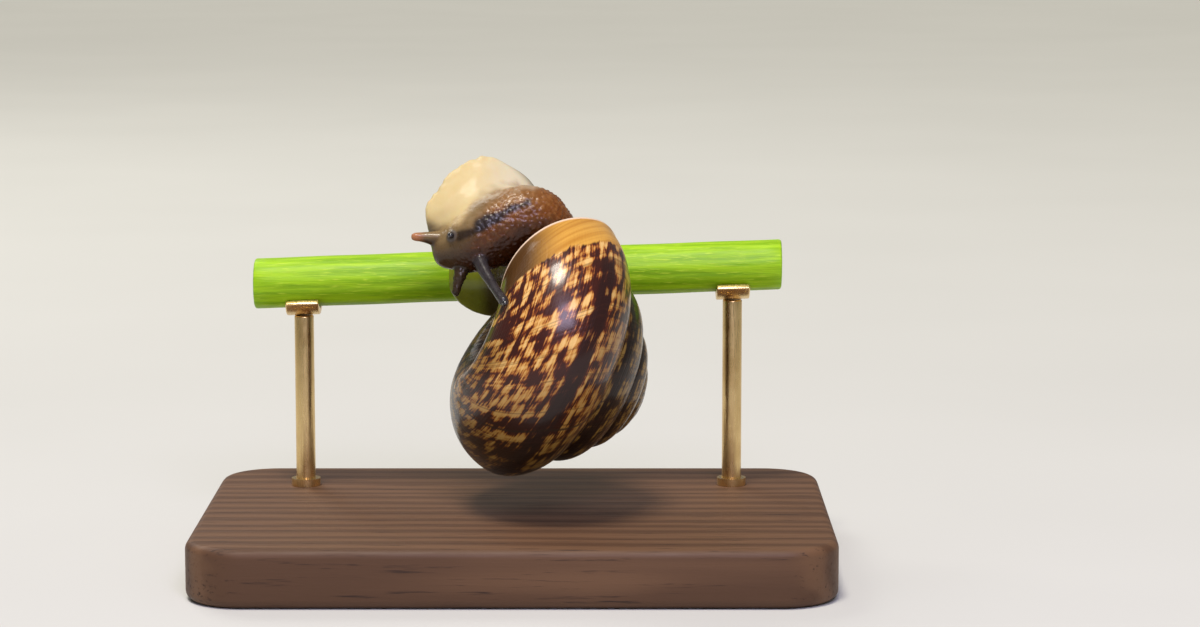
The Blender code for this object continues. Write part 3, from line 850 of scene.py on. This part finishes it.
# %% Small marks
STRIPE, STREAK = ((-2.2, 3.3), (-0.9, 3.95), (1.0, 4.8)), ((-3.75, 2.45), (-2.3, 2.9))
near = {name: from_line(at, line) for name, line in FEELER_LINES.items()}
front = ease(-y, 10.2, 10.9)
stripe_far, stripe_at = from_line(at[:, [0, 2]], STRIPE)
stripe = ease((0.72 + 0.3 * wobble) * (1 - 0.45 * stripe_at) - stripe_far, 0.0, 0.45) * front
streak_far, streak_at = from_line(at[:, [0, 2]], STREAK)
streak = ease(0.56 - 0.2 * streak_at - streak_far, 0.0, 0.36) * front
streak *= ease(near["upper_right"][0], 0.34, 0.5)
slate = ease(1.0 - near["upper_left"][0], 0.0, 0.45)
brown = ease(0.95 - near["lower_left"][0], 0.0, 0.45)
pink = ease(0.6 - near["lower_right"][0], 0.0, 0.1) * ease(near["lower_right"][1], 0.45, 0.95)
knob = ease(0.50 - near["upper_right"][0], 0.0, 0.15)
root = np.linalg.norm(at - np.array(FEELER_LINES["upper_left"][0]), axis=1)
# Painted shade round the root of the upper-left feeler.
under = np.maximum(under, 0.95 * ease(1.7 - root, 0.0, 1.0))
print("vertices in the stripe:", int((stripe > 0.5).sum()))

# %% [markdown]
# The neck and head are covered with small rounded beads of skin.  They could be a bump, but beads
# break the outline, so they are raised.  Voronoi cells give them: the difference between the two
# nearest cell points is nil on a border and large in the middle.

# %% Beads
BEAD_SIZE, BEAD_LIFT, BEAD_LEVEL = 0.33, 0.38, 0.35
RELIEF = 0.17                # from the deepest place to the highest


def beads(points, size):
    heights = []
    for point in points:
        near_two = noise.voronoi(Vector(point / size))[0]
        heights.append(near_two[1] - near_two[0])
    return ease(np.array(heights), 0.0, 0.55)


bead = beads(at * np.array((0.8, 1.0, 1.0)), BEAD_SIZE)
beaded = (1 - cream) * (1 - foot) * (1 - 0.85 * slate) * (1 - 0.8 * knob) * (1 - 0.85 * grey)
beaded *= 1 - 0.85 * ease(0.6 - near["lower_right"][0], 0.0, 0.2)
print("beaded share of the skin:", round(float(beaded.mean()), 2))

# %% [markdown]
# The flap's free edge is gently scalloped.  Beads and scallops go into one vertex group, which a
# Displace modifier reads; a second Displace sets the mean height back to nil.

# %% Scallops and relief
EDGE_X, EDGE_Z = (-6.3, -5.9, -4.6, -3.4, -2.0), (4.4, 5.4, 6.9, 7.7, 8.2)
scallop = rough(at * np.array((1.0, 0.2, 1.0)), 0.42, 40.0)
rim = cream * ease(-x, 1.2, 2.6) * ease(z - np.interp(x, EDGE_X, EDGE_Z), -1.0, -0.1)
weigh(skin, "lift", 0.5 + BEAD_LIFT * beaded * (bead - BEAD_LEVEL) + 0.7 * rim * scallop)
modify(skin, "DISPLACE", vertex_group="lift", strength=RELIEF * MM, mid_level=0.0)
modify(skin, "DISPLACE", strength=-RELIEF / 2 * MM, mid_level=0.0)
print("vertices on the scalloped rim:", int((rim > 0.5).sum()))

# %% Keeping the marks
marks = {
    "cream": cream, "milky": milky, "foot": foot, "stalk_and_shadow": stalk_and_shadow, "grey": grey, "golden": golden,
    "under": under, "stripe": stripe, "streak": streak, "slate": slate, "brown": brown, "pink": pink,
    "knob": knob, "beaded": beaded}
for name, values in marks.items():
    attribute = skin.data.attributes.new(name, "FLOAT", "POINT")
    attribute.data.foreach_set("value", values)
print("marks kept:", len(marks))

# %% [markdown]
# ## The skin's finish
# Wet skin is glossy, lets a little light in, and changes colour from mark to mark.  Each mark is an
# attribute of the mesh, so its colour is laid over the ones before it, as thin washes of paint are.
# Vertex colours alone would blur the fine grain, which comes from noise.

# %% Colours of the skin
RUST, GOLD = ((0.115, 0.028, 0.004), (0.215, 0.072, 0.011)), ((0.185, 0.088, 0.024), (0.285, 0.155, 0.052))
GREY, CREAM = ((0.135, 0.086, 0.034), (0.26, 0.180, 0.078)), ((0.55, 0.42, 0.17), (0.64, 0.53, 0.28))
# The olive is painted shade on the foot, and the stalk's dark brown is partly painted shadow.
OLIVE_PAINTED_SHADE, STALK_AND_SHADOW = ((0.12, 0.145, 0.008), (0.235, 0.265, 0.020)), ((0.030, 0.016, 0.006), (0.060, 0.034, 0.013))
INKY, SLATE = ((0.008, 0.007, 0.009), (0.030, 0.027, 0.034)), ((0.014, 0.011, 0.011), (0.045, 0.038, 0.040))
# The second and third colours here are painted shade, for the warm skin and the grey skin.
BEAD_TAN, RUST_PAINTED_SHADE, GREY_PAINTED_SHADE = (0.38, 0.18, 0.055), (0.022, 0.004, 0.0005), (0.030, 0.013, 0.004)
MILK, KNOB_GREY, STREAK_BROWN = (0.67, 0.60, 0.42), (0.085, 0.066, 0.050), (0.016, 0.008, 0.004)
FEELER_BROWN, FEELER_PINK = (0.022, 0.014, 0.007), (0.36, 0.15, 0.060)


# %% Wet skin
def wet_skin():
    r = Recipe("wet_skin")

    def share(name, weight=1.0):
        return r.times(r.add("Attribute", out=2, attribute_name=name), weight)

    here = r.place()
    soft, fine = r.noise(here, 0.9, 3.0, 0.55), r.noise(here, 3.2, 2.0, 0.6)
    cells = r.add("TexVoronoi", inputs={"Vector": here, "Scale": 4.0}, feature="SMOOTH_F1")
    knobs = r.times(r.step(cells, 0.60, 0.10), share("beaded"))
    warm = r.mix(share("golden"), r.mix(soft, *RUST), r.mix(soft, *GOLD))
    warm = r.mix(r.times(knobs, 0.35), warm, BEAD_TAN)
    # Painted shade: the under mark darkens the warm and the grey skin where they face down, and round a
    # feeler's root.
    warm = r.mix(share("under", 0.95), warm, RUST_PAINTED_SHADE)
    grey = r.mix(share("under", 0.90), r.mix(soft, *GREY), GREY_PAINTED_SHADE)
    colour = r.mix(share("grey"), warm, grey)
    # Of these washes, the foot's olive is painted shade and the stalk's dark brown is partly painted shadow.
    washes = (
        ("cream", 1.0, r.mix(share("milky"), r.mix(soft, *CREAM), MILK)),
        ("foot", 1.0, r.mix(soft, *OLIVE_PAINTED_SHADE)), ("stalk_and_shadow", 0.85, r.mix(soft, *STALK_AND_SHADOW)),
        ("knob", 1.0, KNOB_GREY), ("streak", 0.92, STREAK_BROWN), ("stripe", 0.92, r.mix(knobs, *INKY)),
        ("slate", 1.0, r.mix(fine, *SLATE)), ("brown", 0.9, FEELER_BROWN), ("pink", 1.0, FEELER_PINK))
    for name, weight, wash in washes:
        colour = r.mix(share(name, weight), colour, wash)
    r.surface(
        Base_Color=colour,
        Roughness=r.plus(r.ramp(fine, (0.3, 0.24), (0.7, 0.38)), share("cream", 0.22)),
        Coat_Weight=r.minus(0.20, share("cream", 0.12)),
        Subsurface_Weight=r.plus(share("cream", 0.25), 0.08),
        Normal=r.bump(r.noise(here, 6.0, 2.0, 0.6), 0.012, 0.3, r.bump(knobs, 0.045, 0.6)))
    r.surface(
        Subsurface_Radius=(1.0, 0.5, 0.25), Subsurface_Scale=0.6 * MM, IOR=1.33, Coat_Roughness=0.12)
    return r.material


hand_over(skin, "skin", wet_skin(), *FLESH_NAMES, *FEELER_NAMES)

# %% [markdown]
# ## The eyes
# Each eye is a small black ball at the tip of an upper feeler, sunk in its skin.  A plain ball would
# glint like a bead, so its front is drawn out a little to a clear dome (the cornea), by moving one
# vertex with proportional editing.

# %% Eyes
EYE_SWELL = 1.12             # the finished ball is a little larger than the CAD ball
CORNEA, CORNEA_REACH = 0.04, 0.2


def eye_black():
    r = Recipe("eye_black")
    r.surface(
        Base_Color=r.ramp(r.noise(r.place(), 5.0), (0.4, (0.006, 0.006, 0.010)), (0.7, (0.03, 0.026, 0.03))),
        Roughness=0.10)
    r.surface(IOR=1.45, Coat_Weight=1.0, Coat_Roughness=0.04)
    return r.material


def make_eye(side, finish):
    low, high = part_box(f"eye_{side}")
    middle, radius = (low + high) / 2, EYE_SWELL * (high.x - low.x) / 2
    bpy.ops.mesh.primitive_uv_sphere_add(
        segments=40, ring_count=24, radius=radius, location=middle, rotation=(pi / 2 - LEAN, 0, 0))
    bpy.ops.object.transform_apply(location=True, rotation=True, scale=True)
    eye = start(f"eye_ball_{side}")
    edit(eye)
    leave_edit()
    front = min(eye.data.vertices, key=lambda vertex: vertex.co.y)
    front.select = True
    bpy.ops.object.mode_set(mode="EDIT")
    bpy.ops.mesh.select_mode(type="VERT")
    bpy.ops.transform.translate(
        value=(0, -CORNEA * MM, 0), use_proportional_edit=True, proportional_edit_falloff="SMOOTH",
        proportional_size=CORNEA_REACH * MM)
    leave_edit()
    hand_over(eye, "eyes", finish, f"eye_{side}")


eye_finish = eye_black()
for side in ("left", "right"):
    make_eye(side, eye_finish)

# %% [markdown]
# ## The stem
# The stem is a straight, slightly ribbed tube of green plant skin, cut square at both ends, with the
# pale pith a little sunk.  A cylinder has no sunk end and too few rings to rib, so the stem is drawn
# out ring by ring from a circle.

# %% Stem
STEM_RADIUS, STEM_HALF, STEM_SIDES = 1.8, 19.0, 96
# The end's rings run from the sunk pith, over the cut edge, to the side: how far in from the end
# each is, and its share of the radius.
STEM_END = [(0.5, 0.45), (0.35, 0.72), (0.05, 0.80), (0.0, 0.86), (0.0, 0.93), (0.06, 0.98), (0.16, 1.0)]


def draw_stem():
    """Rings from one end to the other; each is a place along the stem and a share of the radius."""
    half = STEM_END + [(inward, 1.0) for inward in np.linspace(1.0, STEM_HALF - 1, 18)]
    rings = [(-STEM_HALF + inward, size) for inward, size in half]
    rings += [(-place, size) for place, size in reversed(rings)]
    bpy.ops.mesh.primitive_circle_add(
        vertices=STEM_SIDES, radius=STEM_RADIUS * rings[0][1], fill_type="TRIFAN",
        rotation=(0, pi / 2, 0), location=(rings[0][0], 0, 0))
    bpy.ops.object.transform_apply(location=True, rotation=True, scale=True)
    stem = start("plant_stem")
    edit(stem)
    bpy.ops.mesh.select_mode(type="EDGE")
    bpy.ops.mesh.select_all(action="SELECT")
    bpy.ops.mesh.region_to_loop()
    for (place_a, size_a), (place_b, size_b) in zip(rings, rings[1:]):
        k = size_b / size_a
        bpy.ops.mesh.extrude_edges_move()
        bpy.ops.transform.resize(value=(1, k, k), center_override=(place_a, 0, 0))
        bpy.ops.transform.translate(value=(place_b - place_a, 0, 0))
    bpy.ops.mesh.fill()
    bpy.ops.mesh.select_all(action="SELECT")
    bpy.ops.mesh.normals_make_consistent(inside=False)
    leave_edit()
    return stem


stem = draw_stem()
print("stem", 2 * STEM_HALF, "mm long")

# %% [markdown]
# The ribs are low and rounded, and run the whole length.  Each vertex moves in or out by a formula of
# its angle, and the stem then rises a little to the right.  An attribute tells the finish which
# vertices are pith.

# %% Ribs and rise
RIB_COUNT, RIB_HEIGHT, RIB_SHARPNESS = 12, 0.016, 0.7      # the height is a share of the radius
RIB_INWARD, UNEVENNESS = 0.010, 0.006
PITH_SHARE = 0.83
STEM_RISE = radians(2.1)
pith = stem.data.attributes.new("pith", "FLOAT", "POINT")
for vertex in stem.data.vertices:
    px, py, pz = vertex.co
    pith.data[vertex.index].value = float(np.hypot(py, pz) < PITH_SHARE * STEM_RADIUS)
    turn = np.arctan2(pz, py)
    swell = 1 + RIB_HEIGHT * abs(cos(turn * RIB_COUNT / 2)) ** RIB_SHARPNESS - RIB_INWARD
    swell += UNEVENNESS * sin(px * 0.9 + turn)
    vertex.co = (px, py * swell, pz * swell + px * tan(STEM_RISE))
stem.data.transform(stem_frame @ Matrix.Scale(MM, 4))
print("ribs:", RIB_COUNT)


# %% Green plant skin
def stem_green():
    r = Recipe("stem_green")
    streaks = r.noise(r.place(scale=(0.06, 1.0, 1.0)), 2.6, 3.0, 0.6)
    fine = r.noise(r.place(scale=(0.10, 1.0, 1.0)), 9.0, 2.0, 0.5)
    colour = r.mix(r.step(streaks, 0.3, 0.7), (0.20, 0.41, 0.003), (0.36, 0.62, 0.008))
    colour = r.mix(r.step(fine, 0.55, 0.75), colour, (0.45, 0.66, 0.030))
    inside = r.mix(
        r.noise(r.place(turn=(0, STEM_RISE, 0)), 4.0), (0.50, 0.54, 0.22), (0.68, 0.70, 0.42))
    r.surface(
        Base_Color=r.mix(r.add("Attribute", out=2, attribute_name="pith"), colour, inside),
        Roughness=r.ramp(streaks, (0.3, 0.38), (0.7, 0.52)),
        Normal=r.bump(fine, 0.04, 0.6))
    r.surface(
        Subsurface_Weight=0.12, Subsurface_Radius=(0.5, 1.0, 0.2), Subsurface_Scale=0.8 * MM, IOR=1.35)
    return r.material


hand_over(stem, "stem", stem_green(), "perch_stem", angle=35)

# %% [markdown]
# ## The stand
# A plain walnut plate carries two brass rods, and each rod a small brass gutter for the stem.  The
# plate is a box with its upright corners rounded widely and its rims a little.  A Bevel modifier
# would treat all edges alike, so the edges are picked by their direction and bevelled in turn.

# %% Base
CORNER, CORNER_STEPS = 4.0, 12
RIM, RIM_STEPS = 0.6, 5
LEVEL = 0.01                 # an edge whose ends differ less than this in height is level
base_low, base_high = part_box("stand_base")
bpy.ops.mesh.primitive_cube_add(
    size=1, location=(base_low + base_high) / 2, scale=base_high - base_low)
bpy.ops.object.transform_apply(location=True, rotation=True, scale=True)
base = start("walnut_base")


def bevel_where(piece, test, offset_mm, segments):
    """Rounds the edges whose rise in millimetres passes the test."""
    edit(piece)
    leave_edit()
    for edge in piece.data.edges:
        a, b = (piece.data.vertices[k].co / MM for k in edge.vertices)
        edge.select = test(abs(a.z - b.z))
    bpy.ops.object.mode_set(mode="EDIT")
    bpy.ops.mesh.select_mode(type="EDGE")
    bpy.ops.mesh.bevel(offset=offset_mm * MM, segments=segments, affect="EDGES")
    leave_edit()


bevel_where(base, lambda rise: rise > 1, CORNER, CORNER_STEPS)
bevel_where(base, lambda rise: rise < LEVEL, RIM, RIM_STEPS)
print("base, mm:", [round(v / MM, 2) for v in base.dimensions])

# %% [markdown]
# Walnut has broad wavy growth bands and short dark pores, both drawn out along the plank.  One wave
# texture gives the bands and a stretched noise the pores, so that end grain and top agree.


# %% Walnut
def walnut():
    r = Recipe("walnut")
    bent = r.noise(r.place(scale=(0.3, 1.0, 1.0)), 0.12, 2.0)
    bands = r.add("TexWave", out=1, inputs={
        "Vector": r.place(scale=(0.045, 1.0, 1.0)), "Scale": 0.16, "Distortion": 5.0, "Detail": 3.0,
        "Detail Scale": 1.4, "Phase Offset": r.times(bent, 6.0)}, bands_direction="Y")
    pores = r.noise(r.place(scale=(0.05, 1.0, 1.0)), 3.5, 3.0, 0.65)
    colour = r.mix(r.step(bands, 0.0, 1.0), (0.085, 0.040, 0.019), (0.135, 0.068, 0.033))
    colour = r.mix(r.step(pores, 0.58, 0.72), colour, (0.03, 0.014, 0.008))
    r.surface(
        Base_Color=colour, Roughness=r.ramp(pores, (0.3, 0.50), (0.7, 0.66)),
        Normal=r.bump(pores, 0.04, 0.4))
    r.surface(IOR=1.4)
    return r.material


hand_over(base, "stand_wood", walnut(), "stand_base", angle=35)

# %% [markdown]
# The rods and gutters are turned and bent brass, brushed along the rod and a little tarnished.


# %% Brass
def brushed_brass():
    r = Recipe("brushed_brass")
    brush = r.noise(r.place(scale=(1.0, 1.0, 0.08)), 8.0, 2.0, 0.6)
    tarnish = r.noise(r.place(), 0.5, 3.0)
    r.surface(
        Base_Color=r.mix(r.step(tarnish, 0.35, 0.75), (0.78, 0.57, 0.27), (0.62, 0.42, 0.18)),
        Metallic=1.0, Roughness=r.ramp(brush, (0.3, 0.22), (0.7, 0.38)),
        Normal=r.bump(brush, 0.015, 0.4))
    return r.material


brass = brushed_brass()

# %% [markdown]
# Each rod is a cylinder with softened ends and a low collar where it enters the wood.  Bisect cuts
# the rod above and below the collar, and that ring of faces is drawn out.  Two more cuts, over the
# collar and under the top, keep the shading of the long sides straight.

# %% Rods
ROD_SIDES, ROD_SOFTENING, SOFTENING_STEPS = 48, 0.12, 3
ROD_REACH = 0.07             # closes the fine gap under the gutter
COLLAR_LOW, COLLAR_HIGH, COLLAR_OUT = 0.02, 0.55, 0.35      # above the wood, and out from the rod
CUT_OVER_COLLAR, CUT_UNDER_TOP = 0.1, 0.2


def make_rod(side):
    low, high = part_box(f"stand_rod_{side}")
    high.z += ROD_REACH * MM
    wood_top = base_high.z
    bpy.ops.mesh.primitive_cylinder_add(
        vertices=ROD_SIDES, radius=(high.x - low.x) / 2, depth=high.z - low.z, location=(low + high) / 2)
    bpy.ops.object.transform_apply(location=True, rotation=True, scale=True)
    rod = start(f"brass_rod_{side}")
    bevel_where(rod, lambda rise: rise < LEVEL, ROD_SOFTENING, SOFTENING_STEPS)
    cuts = [wood_top + up * MM for up in (COLLAR_LOW, COLLAR_HIGH, COLLAR_HIGH + CUT_OVER_COLLAR)]
    for height in cuts + [high.z - CUT_UNDER_TOP * MM]:
        edit(rod, "SELECT")
        bpy.ops.mesh.bisect(plane_co=(0, 0, height), plane_no=(0, 0, 1))
        leave_edit()
    for face in rod.data.polygons:
        up = (face.center.z - wood_top) / MM
        face.select = COLLAR_LOW < up < COLLAR_HIGH and abs(face.normal.z) < 0.1
    for edge in rod.data.edges:
        edge.select = False
    bpy.ops.object.mode_set(mode="EDIT")
    bpy.ops.mesh.select_mode(type="FACE")
    bpy.ops.mesh.extrude_region_shrink_fatten(
        TRANSFORM_OT_shrink_fatten={"value": COLLAR_OUT * MM})
    leave_edit()
    hand_over(rod, "stand_metal", brass, f"stand_rod_{side}", angle=35)


# %% [markdown]
# A gutter is a strip of brass bent round the lower part of the stem.  Its end, a small rectangle, is
# spun part of the way round the stem's axis, and its edges are then softened.

# %% Gutters
GUTTER_HALF_ARC, GUTTER_STEPS = radians(55), 24
GUTTER_GAP, GUTTER_WALL, GUTTER_LENGTH = 0.1, 0.5, 2.4


def make_gutter(side):
    low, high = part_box(f"stand_cradle_{side}")
    place = ((low + high) / 2).x / MM
    bpy.ops.mesh.primitive_plane_add(size=1, location=(0, 0, 0))
    gutter = start(f"brass_cradle_{side}")
    edit(gutter, "SELECT")
    bpy.ops.transform.resize(value=(GUTTER_LENGTH, GUTTER_WALL, 1))
    bpy.ops.transform.translate(value=(0, STEM_RADIUS + GUTTER_GAP + GUTTER_WALL / 2, 0))
    leave_edit()
    gutter.data.transform(Matrix.Rotation(-pi / 2 - GUTTER_HALF_ARC, 4, "X"))
    edit(gutter, "SELECT")
    bpy.ops.mesh.select_mode(type="FACE")
    bpy.ops.mesh.spin(steps=GUTTER_STEPS, angle=-2 * GUTTER_HALF_ARC, center=(0, 0, 0), axis=(1, 0, 0))
    bpy.ops.mesh.select_all(action="SELECT")
    bpy.ops.mesh.remove_doubles(threshold=1e-4)
    bpy.ops.mesh.normals_make_consistent(inside=False)
    leave_edit()
    for vertex in gutter.data.vertices:
        vertex.co.x += place
        vertex.co.z += vertex.co.x * tan(STEM_RISE)
    upright = Matrix.Rotation(LEAN, 4, "X")
    gutter.data.transform(stem_frame @ Matrix.Scale(MM, 4) @ upright)
    modify(gutter, "BEVEL", width=0.1 * MM, segments=3, limit_method="ANGLE", angle_limit=radians(50))
    hand_over(gutter, "stand_metal", brass, f"stand_cradle_{side}", angle=35)


for side in ("left", "right"):
    make_rod(side)
    make_gutter(side)
